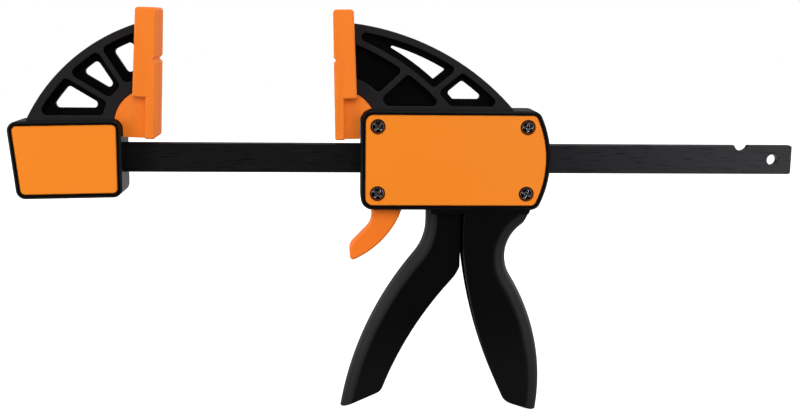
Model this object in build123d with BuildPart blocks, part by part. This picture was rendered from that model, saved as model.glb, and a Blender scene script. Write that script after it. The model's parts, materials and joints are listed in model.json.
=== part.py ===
from build123d import *
from math import cos, pi, radians, sin, sqrt, tan
import os

# One-handed quick release bar clamp, in millimetres.
#
# Origin: on the centre line of the bar, in the plane of the fixed jaw's clamping face.
# +X runs along the bar from the fixed jaw to its free end, +Z points up from the bar to the
# jaws (the handles hang down to -Z), and -Y is the front, where the covers are.

# ---------------------------------------------------------------- driving dimensions

# Bar: one flat steel bar, with a cross hole and a half-round notch near each end.
bar_height = 20.0
bar_thickness = 5.5
bar_corner = 0.5
bar_free_end = 435.0        # free end, past the clamping plane
bar_tail = 88.0             # length that is behind the clamping plane, inside the fixed head
bar_hole_radius = 3.75
bar_hole_inset = 13.4       # from either end to the cross hole
notch_inset = 35.7          # from either end to the notch
notch_width = 10.0
notch_depth = 3.9
bar_end_cut = 1.0           # corners of both ends

# Depths, across the bar.
body_depth = 31.0           # both heads, front rim to back rim
jaw_width = 21.0            # flanges of the jaw trusses
web_thickness = 3.5         # web in the middle of the trusses
pad_width = 34.0
cover_thickness = 2.6
cover_recess = 3.0          # front recess that each cover lies in
back_recess = 1.2           # plain moulded panel on the back of each head
rim = 3.0                   # moulded rim round each cover
rim_bevel = 1.3
skirt_drop = 2.9            # lip round the slot of the trigger, under the moving head
skirt_width = 27.8
skirt_left = 182.5

# Clamping faces.
opening = 117.1             # distance between the clamping faces, as modelled
pad_top = 99.8
pad_bottom = 13.6
fixed_toe_in = 2.0          # degrees that each pad leans in at the top, unloaded
moving_toe_in = 1.1
pad_slab = 6.4              # thickness of the pad in front of the jaw
pad_channel_low = 15.0      # pad thickness over the channel, at its lower end
pad_channel_high = 13.7     # and at its upper end
pad_step = 41.0             # height where the channel walls end
lobe_radius = 23.5          # rounded heel of the pad, which bears in the jaw
lobe_depth = 4.1            # its centre behind the clamping face
lobe_height = 22.9
lobe_width = 20.0
groove_height = 66.0        # horizontal V groove
groove_width = 4.4
rail_width = 26.0           # T rail on the front of each jaw that the pad hooks over
rail_thickness = 4.4
rail_bottom = 47.0
rail_top = 90.0
crown_height = 91.5         # top of each jaw, at its front
pad_crown_round = 2.3
pad_foot_round = 1.2
pad_edge_bevel = 0.9

# Fixed head and its truss.
head_right = 26.9           # right edge of its cover, behind the clamping plane
head_length = 66.3          # cover length at the height of the bar
head_height = 45.8          # cover height
head_offset = 0.2           # its middle above the bar's, beside the jaw
head_corner = 3.2
head_tilt = 1.25            # degrees that its long edges rise towards the jaw
head_lean = 6.1             # degrees that its tail end leans
fixed_arc_radius = 126.4    # outer edge of the truss, from its foot on the head to the crown
fixed_foot_x = -86.9
fixed_hub = 31.0            # radius where the pockets start, from the centre of the pad's heel
fixed_spokes = (149.0, 123.0)   # directions of the spokes, in degrees
fixed_spoke_width = 3.4

# Moving head and its truss.
cover_left = 138.2          # left edge of the mechanism cover
cover_length = 122.7
cover_height = 61.4
cover_bow_radius = 68.0     # its bowed right edge
cover_left_corner = 5.2
cover_right_corner = 4.0
moving_arc_radius = 171.5
moving_foot_x = 238.9
truss_root = 6.0            # the trusses reach this far down into their heads
moving_hub = 33.0
long_rib = ((122.0, 82.6), (160.0, 64.6), (204.0, 22.2))   # three points of its curve
short_rib = (166.4, 60.2, 222.6)    # where it leaves the long rib, and its direction
tail_rib = (183.9, 45.7, 39.3)
moving_rib_width = 4.0
fixed_flange = 5.4          # flange along the outer arc of each truss
moving_flange = 4.7
base_flange = 2.6           # flange along the head under the pockets
fixed_pocket_corner = 3.4
moving_pocket_corner = 3.0
window_ledge = 4.4          # web that is left round each window
window_corner = 2.6
long_window_corner = 0.8    # of the one that ends in a narrow tip
tail_window_corner = 2.0
pocket_edge = 0.4           # bevel on the mouths of the pockets

# Mechanism.
screw_pitch_x = 101.3
screw_pitch_z = 45.4
screw_centre_x = 197.2
screw_head_radius = 3.9
screw_head_height = 1.7
screw_flange_radius = 5.1
screw_flange_thickness = 0.5
screw_shank_radius = 1.7
screw_length = 14.0
screw_head_bevel = 0.4
screw_bore_spare = 1.0      # depth of each screw's bore past its point
screw_sink_gap = 0.2        # round the flange, in the sink of the cover that it sits in
screw_sink_depth = 1.9
boss_radius = 4.2
back_wall = 2.8             # wall behind the mechanism
chamber_height = 54.8
brake_chamber = (142.2, 171.0)      # left and right walls
drive_chamber = (174.0, 256.0)
chamber_corner = 2.0
pivot_pin_radius = 3.0
pivot_boss_radius = 5.6
pivot_seat = 1.3            # depth of the pin's bore in the back wall and in the cover
trigger_pivot_x = 190.0
trigger_pivot_z = 19.0
cheek_radius = 7.5
cheek_gap = 8.0             # between the two cheeks of the trigger
bar_clearance = 3.8         # trigger under the bar at rest, which it rises towards when squeezed
nose_x = 195.0              # rounded nose of the trigger, which pushes the drive levers
nose_z = -16.4
nose_radius = 3.0
drive_lever_width = 19.0
drive_lever_height = 40.0
drive_lever_thickness = 3.0
drive_lever_corner = 1.5
brake_pivot_x = 160.5
brake_pivot_drop = 2.2      # its pivot under the roof of the chamber
brake_thickness = 3.2
brake_width = 19.0
brake_length = 58.0
brake_tail_width = 8.0
brake_tail_length = 18.0
brake_tilt = 5.0            # degrees off square to the bar when it grips
brake_slot_play = 1.0       # the bar's slot in the brake lever, over the bar's own height
washer_thickness = 1.2
washer_radius = 12.2
drive_spring_radius = 11.55     # to the middle of the wire
drive_wire = 1.5
drive_turns = 6
brake_spring_radius = 3.3
brake_wire = 1.0
brake_turns = 4
brake_spring_share = 0.375  # of the spare height between the stem and the bar's slot, the part under it
spring_steps = 12           # straight steps in each turn of the wire
rivet_radius = 1.5
rivet_inset = 3.8           # from the end of the brake lever's tail
rivet_grip = 5.5            # half its length

# Handles. Each edge seen from the front is one or two arcs, each given by its ends; the second
# carries on smoothly from the first.
trigger_width = 20.0
trigger_front_x = 180.4     # upright front edge under the housing
trigger_front_turn = (180.4, -43.2)     # where its front starts to curve
trigger_front_knee = (172.3, -65.7)
trigger_toe = (121.9, -176.2)
trigger_heel = (150.1, -163.6)
trigger_back_knee = (198.2, -83.5)
trigger_back_radius = 250.8
trigger_back_top = (203.8, -74.3)
trigger_heel_corner = 8.0
trigger_wall = 3.2
trigger_side_wall = 3.0
trigger_round = 9.0         # comfort rounding on its front edges
trigger_inner_bevel = 3.0
handle_edge_bevel = 0.6      # on the open edges of both handles
trigger_hollow_top = -66.0
trigger_rib_pitch = 20.0
trigger_ribs = 4
grip_width = 27.0
grip_top = -31.5
grip_front_top = (205.9, -66.0)     # where its front starts to curve
grip_front_radius = 320.0
grip_heel = (236.8, -170.4)
grip_toe = (260.0, -178.2)
grip_back_knee = (239.6, -81.3)
grip_back_radius = 143.8
grip_collar = (246.4, -45.5)    # where the hollow for the web of the thumb ends
grip_flank = ((248.2, -41.5), (251.3, -33.6))   # steep edge from there up to the housing
grip_heel_corner = 11.0
grip_toe_corner = 2.5
grip_wall = 3.1
grip_round = 10.0           # comfort rounding on its back edges
grip_inner_bevel = 4.0
grip_rib_pitch = 17.0
grip_rib_top = -120.0
grip_ribs = 3
handle_rib = 2.0
release_width = 12.0
release_front = ((143.0, -33.0), (142.8, -44.5), (127.4, -60.4))    # corners of its front edge
release_front_bend = (12.0, 8.7)        # and the rounding of the last two
release_tip = (128.6, -71.2)
release_tip_radius = 2.2
release_back = ((161.9, -39.7), (164.2, -33.0))
release_back_radius = 62.4
release_bevel = 1.2
release_stem = (151.4, 162.5)       # left and right of the stem that holds the brake lever
release_stem_rise = 4.5     # its top above the rivet in the tail of the brake lever
trigger_slot = (180.4, 228.0)       # left and right ends of the slots under the housing
release_slot = (142.6, 171.0)

# Fits.
slide_gap = 0.15            # the moving head on the bar, each side
socket_gap = 0.1            # the fixed head on the bar, each side
cover_gap = 0.25            # round each cover
pin_fit = 0.02              # pins in the bores that hold them
running_fit = 0.05          # pins in what turns on them
free_gap = 0.3              # moving pieces beside still ones
rail_gap = 0.2              # pad on its rail
heel_gap = 0.6              # heel of each pad over the corner of its head
pad_seat = 0.2              # jaw behind the slab of its pad
pin_bevel = 0.4
pin_end_gap = 0.2           # at each end of a pin
cover_bevel = 0.5

os.makedirs("parts", exist_ok=True)
FRONT = Plane.XZ            # sketches on it are seen from the front; extrusions come forward


def save(part, name):
    part.label = name
    export_step(part, f"parts/{name}.step")


# ---------------------------------------------------------------- places worked out from them

bar_start = -bar_tail
bar_length = bar_tail + bar_free_end
bar_hole_x = (bar_start + bar_hole_inset, bar_free_end - bar_hole_inset)
notch_x = (bar_start + notch_inset, bar_free_end - notch_inset)
notch_z = bar_height / 2 - notch_depth + notch_width / 2
front_floor = body_depth / 2 - cover_recess         # the floor that each cover lies on
pad_height = pad_top - pad_bottom
pad_middle = (pad_top + pad_bottom) / 2
jaw_face = pad_slab + pad_seat                           # front of each jaw, behind the clamping face


# Each clamping face leans in about its own middle, so each pad and the front of its jaw are
# drawn on a plane of their own: x runs into the jaw, y up the face.
fixed_face = Plane(
    origin=(0, 0, pad_middle),
    x_dir=(-cos(radians(fixed_toe_in)), 0, sin(radians(fixed_toe_in))),
    z_dir=(0, 1, 0),
)
moving_face = Plane(
    origin=(opening, 0, pad_middle),
    x_dir=(cos(radians(moving_toe_in)), 0, sin(radians(moving_toe_in))),
    z_dir=(0, -1, 0),
)


def on_face(face, depth, height):
    """Front view coordinates of a point at a depth behind a clamping face and a height."""
    up = face.y_dir
    rise = (height - pad_middle - depth * face.x_dir.Z) / up.Z
    point = face.origin + face.x_dir * depth + up * rise
    return (point.X, point.Z)


# ---------------------------------------------------------------- outlines seen from the front

with BuildSketch(FRONT) as fixed_outline:
    cover_tail = -head_right - head_length
    rise = tan(radians(head_tilt))
    lean = tan(radians(head_lean))
    top_right = head_height / 2 + head_offset
    bottom_right = top_right - head_height
    top_left = top_right - head_length * rise
    bottom_left = bottom_right - head_length * rise
    with BuildLine():
        Polyline(
            (-head_right, bottom_right),
            (-head_right, top_right),
            (cover_tail - top_left * lean, top_left),
            (cover_tail - bottom_left * lean, bottom_left),
            close=True,
        )
    make_face()
    fillet(fixed_outline.vertices(), head_corner)

with BuildSketch(FRONT) as moving_outline:
    half_cover = cover_height / 2
    cover_right = cover_left + cover_length
    bow = cover_bow_radius - sqrt(cover_bow_radius**2 - half_cover**2)
    with BuildLine():
        Polyline(
            (cover_right - bow, half_cover),
            (cover_left, half_cover),
            (cover_left, -half_cover),
            (cover_right - bow, -half_cover),
        )
        ThreePointArc((cover_right - bow, -half_cover), (cover_right, 0), (cover_right - bow, half_cover))
    make_face()
    fillet(moving_outline.vertices().group_by(Axis.X)[0], cover_left_corner)
    fillet(moving_outline.vertices().group_by(Axis.X)[-1], cover_right_corner)

fixed_hub_centre = on_face(fixed_face, lobe_depth, lobe_height)
moving_hub_centre = on_face(moving_face, lobe_depth, lobe_height)
fixed_roof = top_right + rim        # top of each head beside its truss
moving_roof = half_cover + rim


def radial_strip(centre, direction, width, length):
    """A strip of material that starts at a point and runs off in a direction."""
    angle = radians(direction)
    middle = (centre[0] + cos(angle) * length / 2, centre[1] + sin(angle) * length / 2)
    with Locations(middle):
        Rectangle(length, width, rotation=direction, mode=Mode.SUBTRACT)


def truss_outline(face, foot, radius):
    """The arc from the foot to the crown, closed down the jaw's front and inside the head."""
    root = foot[1] - truss_root
    crown = on_face(face, jaw_face, crown_height)
    RadiusArc(foot, crown, radius)
    Polyline(crown, on_face(face, jaw_face, root), (foot[0], root), foot)


fixed_foot = (fixed_foot_x, fixed_roof + (fixed_foot_x + head_right) * rise)
moving_foot = (moving_foot_x, moving_roof)

with BuildSketch(FRONT) as fixed_truss:
    with BuildLine():
        truss_outline(fixed_face, fixed_foot, fixed_arc_radius)
    make_face()
    with Locations(fixed_hub_centre):
        Circle(lobe_radius + free_gap, mode=Mode.SUBTRACT)

with BuildSketch(FRONT) as fixed_cells:
    # The truss less its flanges, cut into three by the spokes.
    with BuildLine():
        truss_outline(fixed_face, fixed_foot, fixed_arc_radius)
    make_face()
    offset(amount=-fixed_flange, kind=Kind.INTERSECTION)
    with Locations((-head_right - head_length / 2, (fixed_roof + base_flange) / 2)):
        Rectangle(head_length * 2, fixed_roof + base_flange, mode=Mode.SUBTRACT)
    with Locations(fixed_hub_centre):
        Circle(fixed_hub, mode=Mode.SUBTRACT)
    for direction in fixed_spokes:
        radial_strip(fixed_hub_centre, direction, fixed_spoke_width, fixed_arc_radius)

with BuildSketch(FRONT) as moving_truss:
    with BuildLine():
        truss_outline(moving_face, moving_foot, -moving_arc_radius)
    make_face()
    with Locations(moving_hub_centre):
        Circle(lobe_radius + free_gap, mode=Mode.SUBTRACT)

with BuildSketch(FRONT) as moving_cells:
    # The truss less its flanges, cut by one long curved rib and two short ones.
    with BuildLine():
        truss_outline(moving_face, moving_foot, -moving_arc_radius)
    make_face()
    offset(amount=-moving_flange, kind=Kind.INTERSECTION)
    with Locations((cover_left + cover_length / 2, (moving_roof + base_flange) / 2)):
        Rectangle(cover_length * 2, moving_roof + base_flange, mode=Mode.SUBTRACT)
    with Locations(moving_hub_centre):
        Circle(moving_hub, mode=Mode.SUBTRACT)
    with BuildLine():
        ThreePointArc(*long_rib)
    trace(line_width=moving_rib_width, mode=Mode.SUBTRACT)
    radial_strip(short_rib[:2], short_rib[2], moving_rib_width, moving_arc_radius)
    radial_strip(tail_rib[:2], tail_rib[2], moving_rib_width, moving_arc_radius)

# The cells that have a window, each with the rounding of its corners.
fixed_windows = [(cell, window_corner) for cell in fixed_cells.sketch_local.faces()]
outermost = moving_cells.sketch_local.faces().sort_by(lambda cell: cell.center().X + cell.center().Y)[-2:]
moving_windows = list(zip(outermost.sort_by(Axis.X), (long_window_corner, tail_window_corner)))


# ---------------------------------------------------------------- bar

with BuildPart() as bar:
    with BuildSketch(FRONT) as bar_profile:
        with Locations(((bar_start + bar_free_end) / 2, 0)):
            Rectangle(bar_length, bar_height)
        chamfer(bar_profile.vertices(), bar_end_cut)
        with Locations(*[(x, 0) for x in bar_hole_x]):
            Circle(bar_hole_radius, mode=Mode.SUBTRACT)
        with Locations(*[(x, notch_z) for x in notch_x]):
            Circle(notch_width / 2, mode=Mode.SUBTRACT)
    extrude(amount=bar_thickness / 2, both=True)
    chamfer(bar.edges().filter_by(Axis.X).filter_by(lambda e: e.length > bar_length / 4), bar_corner)
save(bar.part, "bar")


# ---------------------------------------------------------------- jaws and heads

def truss(outline, cells, corner, windows):
    """A jaw: flanges round its pockets, a web in the middle, and windows, given as cells with a corner.

    Each pocket and window is drawn in and then out again by its corner radius, which rounds it.
    """
    with BuildPart() as jaw:
        with BuildSketch(FRONT):
            add(outline.sketch_local)
        extrude(amount=jaw_width / 2, both=True)
        for side in (1, -1):
            with BuildSketch(FRONT.offset(side * jaw_width / 2)):
                add(cells.sketch_local)
                offset(amount=-corner, kind=Kind.INTERSECTION)
                offset(amount=corner)
            extrude(amount=-side * (jaw_width - web_thickness) / 2, mode=Mode.SUBTRACT)
        outer_faces = jaw.faces().filter_by(Axis.Y).group_by(Axis.Y)
        chamfer(outer_faces[0].edges() + outer_faces[-1].edges(), pocket_edge)
        for cell, cell_corner in windows:
            with BuildSketch(FRONT):
                add(cell)
                offset(amount=-window_ledge - cell_corner, kind=Kind.INTERSECTION)
                offset(amount=cell_corner)
            extrude(amount=jaw_width, both=True, mode=Mode.SUBTRACT)
    return jaw.part


def head(outline):
    """A moulded head: a rim round the recess for its cover, and a shallow panel on the back."""
    with BuildPart() as block:
        with BuildSketch(FRONT):
            add(outline.sketch_local)
            offset(amount=rim)
        extrude(amount=body_depth / 2, both=True)
        chamfer(block.faces().filter_by(Axis.Y).edges(), rim_bevel)
        with BuildSketch(FRONT.offset(body_depth / 2)):
            add(outline.sketch_local)
            offset(amount=cover_gap)
        extrude(amount=-cover_recess, mode=Mode.SUBTRACT)
        with BuildSketch(FRONT.offset(-body_depth / 2)):
            add(outline.sketch_local)
        extrude(amount=back_recess, mode=Mode.SUBTRACT)
    return block.part


def jaw_rail(face):
    """The T rail on the front of a jaw that its pad hooks over."""
    with BuildPart() as rail:
        with BuildSketch(face):
            with Locations((jaw_face + rail_thickness / 2, (rail_top + rail_bottom) / 2 - pad_middle)):
                Rectangle(rail_thickness, rail_top - rail_bottom)
        extrude(amount=rail_width / 2, both=True)
    return rail.part


bar_socket_height = bar_height + 2 * socket_gap
with BuildPart() as fixed_jaw:
    add(head(fixed_outline))
    add(truss(fixed_truss, fixed_cells, fixed_pocket_corner, fixed_windows))
    add(jaw_rail(fixed_face))
    # Blind socket for the bar, and the bores of the two pins that hold it.
    with BuildSketch(Plane.YZ.offset(bar_start - socket_gap)):
        Rectangle(bar_thickness + 2 * socket_gap, bar_socket_height)
    extrude(amount=bar_tail, mode=Mode.SUBTRACT)
    with BuildSketch(FRONT.offset(front_floor)):
        with Locations((bar_hole_x[0], 0)):
            Circle(bar_hole_radius)
        with Locations((notch_x[0], notch_z)):
            Circle(notch_width / 2)
    extrude(amount=-2 * front_floor, mode=Mode.SUBTRACT)
save(fixed_jaw.part, "fixed_jaw")


def straight_pin(x, z, radius, length, name):
    """A plain pin across the bar, with bevelled ends."""
    with BuildPart() as pin:
        with BuildSketch(FRONT):
            with Locations((x, z)):
                Circle(radius)
        extrude(amount=length / 2, both=True)
        chamfer(pin.edges().filter_by(GeomType.CIRCLE), pin_bevel)
    save(pin.part, name)


jaw_pin_length = 2 * (front_floor - pin_end_gap)
straight_pin(bar_hole_x[0], 0, bar_hole_radius - pin_fit, jaw_pin_length, "jaw_roll_pin")
straight_pin(notch_x[0], notch_z, notch_width / 2 - pin_fit, jaw_pin_length, "jaw_key_pin")


# ---------------------------------------------------------------- clamping pads

def pad_heel(face, outline, hub):
    """The rounded heel of a pad, cut away over the corner of its head."""
    with BuildPart() as heel:
        with BuildSketch(FRONT):
            with Locations(hub):
                Circle(lobe_radius)
        extrude(amount=lobe_width / 2, both=True)
        with BuildSketch(FRONT):
            add(outline.sketch_local)
            offset(amount=rim + heel_gap)
        extrude(amount=lobe_width, both=True, mode=Mode.SUBTRACT)
        with BuildSketch(face):
            with Locations((pad_slab / 2 + lobe_radius, 0)):
                Rectangle(2 * lobe_radius, pad_height)
        extrude(amount=lobe_width, both=True, mode=Mode.INTERSECT)
    return heel.part


def clamping_pad(face, outline, hub, name):
    """A pad: a slab with a cross of V grooves, a channel round the rail, and a rounded heel."""
    upright = Plane(origin=face.origin, x_dir=face.x_dir, z_dir=face.y_dir)
    wall_foot = pad_step - pad_middle
    with BuildPart() as pad:
        with BuildSketch(face) as profile:
            with BuildLine():
                Polyline(
                    (0, -pad_height / 2),
                    (pad_slab, -pad_height / 2),
                    (pad_slab, wall_foot),
                    (pad_channel_low, wall_foot),
                    (pad_channel_high, pad_height / 2),
                    (0, pad_height / 2),
                    close=True,
                )
            make_face()
            fillet(profile.vertices().group_by(Axis.Y)[-1], pad_crown_round)
            fillet(profile.vertices().sort_by(Axis.X)[0:1], pad_foot_round)
        extrude(amount=pad_width / 2, both=True)
        sides = pad.faces().filter_by(Axis.Y).group_by(Axis.Y)
        chamfer(sides[0].edges() + sides[-1].edges(), pad_edge_bevel)
        # The channel: a slot for the rail, and a narrower one for the flange that carries it.
        with BuildSketch(upright.offset(rail_bottom - free_gap - pad_middle)):
            with Locations((jaw_face + rail_thickness / 2, 0)):
                Rectangle(rail_thickness + 2 * rail_gap, rail_width + 2 * free_gap)
        extrude(amount=rail_top - rail_bottom + 2 * free_gap, mode=Mode.SUBTRACT)
        with BuildSketch(upright.offset(wall_foot)):
            with Locations((pad_slab + pad_channel_low / 2, 0)):
                Rectangle(pad_channel_low, jaw_width + 2 * free_gap)
        extrude(amount=crown_height + free_gap - pad_step, mode=Mode.SUBTRACT)
        add(pad_heel(face, outline, hub))
        # V grooves: one down the face and one across it.
        with BuildSketch(upright):
            Rectangle(groove_width / sqrt(2), groove_width / sqrt(2), rotation=45)
        extrude(amount=pad_height, both=True, mode=Mode.SUBTRACT)
        with BuildSketch(face):
            with Locations((0, groove_height - pad_middle)):
                Rectangle(groove_width / sqrt(2), groove_width / sqrt(2), rotation=45)
        extrude(amount=pad_width, both=True, mode=Mode.SUBTRACT)
    save(pad.part, name)


clamping_pad(fixed_face, fixed_outline, fixed_hub_centre, "fixed_jaw_pad")
clamping_pad(moving_face, moving_outline, moving_hub_centre, "moving_jaw_pad")


# ---------------------------------------------------------------- moving head

chamber_front = front_floor                         # the cover closes both chambers
chamber_back = body_depth / 2 - back_wall
screw_places = [
    (screw_centre_x + side * screw_pitch_x / 2, up * screw_pitch_z / 2)
    for side in (-1, 1)
    for up in (-1, 1)
]
trigger_slot_width = trigger_width + 2 * free_gap
release_slot_width = release_width + 2 * free_gap
housing_bottom = -cover_height / 2 - rim
chamber_floor = -chamber_height / 2
brake_pivot_z = chamber_height / 2 - brake_pivot_drop
rivet_z = brake_pivot_z - brake_length + rivet_inset
release_stem_top = rivet_z + release_stem_rise
brake_spring_height = 2 * brake_spring_radius + brake_wire
brake_spring_spare = -(bar_height + brake_slot_play) / 2 - release_stem_top - brake_spring_height
brake_spring_z = release_stem_top + brake_spring_share * brake_spring_spare + brake_spring_height / 2


def cut_chamber(ends):
    """A chamber for the mechanism, open to the front."""
    with BuildSketch(FRONT.offset(chamber_front)) as mouth:
        with Locations(((ends[0] + ends[1]) / 2, 0)):
            RectangleRounded(ends[1] - ends[0], chamber_height, chamber_corner)
    extrude(mouth.sketch, amount=-chamber_front - chamber_back, mode=Mode.SUBTRACT)


def cut_slot(ends, width):
    """A slot through the floor of the housing, for a lever that hangs out of it."""
    with BuildSketch(Plane.XY.offset(chamber_floor)) as mouth:
        with Locations(((ends[0] + ends[1]) / 2, 0)):
            Rectangle(ends[1] - ends[0], width)
    extrude(mouth.sketch, amount=housing_bottom - 2 * grip_wall - chamber_floor, mode=Mode.SUBTRACT)


def round_bar(places, radius, front, back, mode=Mode.ADD):
    """Cylinders across the bar between two depths, front and back given as distances."""
    with BuildSketch(FRONT.offset(front)) as circles:
        with Locations(*places):
            Circle(radius)
    extrude(circles.sketch, amount=-front - back, mode=mode)


def side_edges(part, width, points):
    """On both flat sides of a part, the edge nearest to each point seen from the front."""
    return [
        part.edges().sort_by_distance((point.X, side * width / 2, point.Y))[0]
        for point in points
        for side in (-1, 1)
    ]


def open_hollow(outline, wall, shift):
    """The room inside an outline's wall, carried through the wall on the side it is shifted to."""
    with BuildSketch(FRONT) as room:
        add(outline.sketch_local)
        offset(amount=-wall)
        inner = room.sketch_local
        with Locations(shift):
            add(inner)
    return room.sketch_local


def leave_ribs(outline, heights, width, setback):
    """Parts the room of a hollow by its cross ribs, which stop short of its open side."""
    with BuildSketch(FRONT) as ribs:
        with Locations(*[(0, height) for height in heights]):
            Rectangle(2 * bar_length, handle_rib)
        with Locations((setback, 0)):
            add(outline.sketch_local, mode=Mode.INTERSECT)
    extrude(ribs.sketch, amount=width, both=True, mode=Mode.SUBTRACT)


def flank_x(height):
    """Where the steep flank of the grip is at a height."""
    low, high = grip_flank
    return low[0] + (height - low[1]) * (high[0] - low[0]) / (high[1] - low[1])


with BuildSketch(FRONT) as grip_outline:
    with BuildLine():
        back = RadiusArc(grip_toe, grip_back_knee, -grip_back_radius)
        waist = TangentArc(grip_back_knee, grip_collar, tangent=back % 1)
        way_out = waist % 1
        top_corner = grip_collar[0] + (grip_top - grip_collar[1]) * way_out.X / way_out.Y
        out = Line(grip_collar, (top_corner, grip_top))
        Polyline((top_corner, grip_top), (grip_front_top[0], grip_top), grip_front_top)
        front = RadiusArc(grip_front_top, grip_heel, -grip_front_radius)
        Line(grip_heel, grip_toe)
    make_face()
    bottom_corners = grip_outline.vertices().group_by(Axis.Y)
    fillet(bottom_corners[1], grip_heel_corner)
    fillet(bottom_corners[0], grip_toe_corner)
grip_back_edges = (back @ 0.5, waist @ 0.5, out @ 0.5)
grip_front_edges = (front @ 0.5,)

along_bottom = (Vector(*grip_heel) - Vector(*grip_toe)).normalized() * 2 * grip_wall
# Channel that the trigger folds into, open towards it, with cross ribs near its lower end.
with BuildPart() as grip_channel:
    with BuildSketch(FRONT):
        add(open_hollow(grip_outline, grip_wall, (along_bottom.X, along_bottom.Y)))
    extrude(amount=trigger_slot_width / 2, both=True)
    chamfer(side_edges(grip_channel, trigger_slot_width, grip_back_edges[:2]), grip_inner_bevel)
    rib_heights = [grip_rib_top - step * grip_rib_pitch for step in range(grip_ribs)]
    leave_ribs(grip_outline, rib_heights, trigger_slot_width, handle_rib)

with BuildPart() as rear_grip:
    with BuildSketch(FRONT):
        add(grip_outline.sketch_local)
    extrude(amount=grip_width / 2, both=True)
    fillet(side_edges(rear_grip, grip_width, grip_back_edges), grip_round)
    chamfer(side_edges(rear_grip, grip_width, grip_front_edges), handle_edge_bevel)
    # The steep flank under the housing.
    with BuildSketch(FRONT):
        with BuildLine():
            Polyline(
                (flank_x(grip_collar[1]), grip_collar[1]),
                (flank_x(grip_top), grip_top),
                (top_corner, grip_top),
                (top_corner, grip_collar[1]),
                close=True,
            )
        make_face()
    extrude(amount=grip_width, both=True, mode=Mode.SUBTRACT)
    add(grip_channel.part, mode=Mode.SUBTRACT)

with BuildPart() as moving_jaw:
    add(head(moving_outline))
    add(truss(moving_truss, moving_cells, moving_pocket_corner, moving_windows))
    add(jaw_rail(moving_face))
    add(rear_grip)
    with BuildSketch(FRONT):
        with BuildLine():
            Polyline(
                (skirt_left, grip_top),
                (skirt_left, housing_bottom - skirt_drop),
                (flank_x(housing_bottom - skirt_drop), housing_bottom - skirt_drop),
                (flank_x(grip_top), grip_top),
                close=True,
            )
        make_face()
    extrude(amount=skirt_width / 2, both=True)
    cut_chamber(brake_chamber)
    cut_chamber(drive_chamber)
    round_bar(screw_places, boss_radius, chamber_front, chamber_back)
    screw_point = screw_length - front_floor
    round_bar(screw_places, screw_shank_radius + pin_fit, front_floor, screw_point, Mode.SUBTRACT)
    # Passage for the bar through the walls and the rib between the chambers.
    with BuildSketch(Plane.YZ.offset(cover_left - 2 * rim)):
        Rectangle(bar_thickness + 2 * slide_gap, bar_height + 2 * slide_gap)
    extrude(amount=cover_length + 4 * rim, mode=Mode.SUBTRACT)
    cut_slot(trigger_slot, trigger_slot_width)
    cut_slot(release_slot, release_slot_width)
    # Seat of the trigger's pivot pin in the back wall.
    pivot = [(trigger_pivot_x, trigger_pivot_z)]
    beside_trigger = -trigger_width / 2 - free_gap
    round_bar(pivot, pivot_boss_radius, beside_trigger, chamber_back)
    round_bar(pivot, pivot_pin_radius + pin_fit, beside_trigger, chamber_back + pivot_seat, Mode.SUBTRACT)
    # Block under the roof with the groove that the head of the brake lever rocks in.
    with BuildSketch(FRONT.offset(chamber_front)):
        with Locations((brake_pivot_x, (chamber_height / 2 + brake_pivot_z) / 2)):
            Rectangle(4 * brake_thickness, chamber_height / 2 - brake_pivot_z + brake_thickness / 2)
        with BuildLine():
            Polyline(
                (brake_pivot_x - brake_thickness / 2 - running_fit, brake_pivot_z),
                (brake_pivot_x - brake_thickness, brake_pivot_z - brake_thickness),
                (brake_pivot_x + brake_thickness, brake_pivot_z - brake_thickness),
                (brake_pivot_x + brake_thickness / 2 + running_fit, brake_pivot_z),
                close=True,
            )
        make_face(mode=Mode.SUBTRACT)
        with Locations((brake_pivot_x, brake_pivot_z)):
            Circle(brake_thickness / 2 + running_fit, mode=Mode.SUBTRACT)
    extrude(amount=-chamber_front - chamber_back)
save(moving_jaw.part, "moving_jaw")


# ---------------------------------------------------------------- covers and screws

def cover_plate(outline):
    """A cover that lies in the recess of its head, with a bevelled front edge."""
    with BuildPart() as plate:
        with BuildSketch(FRONT.offset(front_floor)):
            add(outline.sketch_local)
        extrude(amount=cover_thickness)
        chamfer(plate.faces().sort_by(Axis.Y)[0].edges(), cover_bevel)
    return plate.part


with BuildPart() as fixed_jaw_cover:
    add(cover_plate(fixed_outline))
save(fixed_jaw_cover.part, "fixed_jaw_cover")

cover_face = front_floor + cover_thickness
with BuildPart() as mechanism_cover:
    add(cover_plate(moving_outline))
    sink_radius = screw_flange_radius + screw_sink_gap
    round_bar(screw_places, sink_radius, cover_face, screw_sink_depth - cover_face, Mode.SUBTRACT)
    round_bar(screw_places, screw_shank_radius + free_gap, cover_face, -front_floor, Mode.SUBTRACT)
    round_bar(pivot, pivot_boss_radius, front_floor, -trigger_width / 2 - free_gap)
    round_bar(pivot, pivot_pin_radius + pin_fit, front_floor + pivot_seat, -trigger_width / 2, Mode.SUBTRACT)
save(mechanism_cover.part, "mechanism_cover")

with BuildPart() as cover_screws:
    head_back = cover_face - screw_sink_depth
    round_bar(screw_places, screw_head_radius, head_back + screw_head_height, -head_back)
    chamfer(cover_screws.faces().group_by(Axis.Y)[0].edges(), screw_head_bevel)
    round_bar(screw_places, screw_flange_radius, head_back + screw_flange_thickness, -head_back)
    round_bar(screw_places, screw_shank_radius, head_back, screw_length - front_floor - screw_bore_spare)
save(cover_screws.part, "cover_screws")

pivot_pin_length = 2 * (front_floor + pivot_seat - pin_end_gap)
straight_pin(*pivot[0], pivot_pin_radius, pivot_pin_length, "trigger_pivot_pin")


# ---------------------------------------------------------------- trigger

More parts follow.
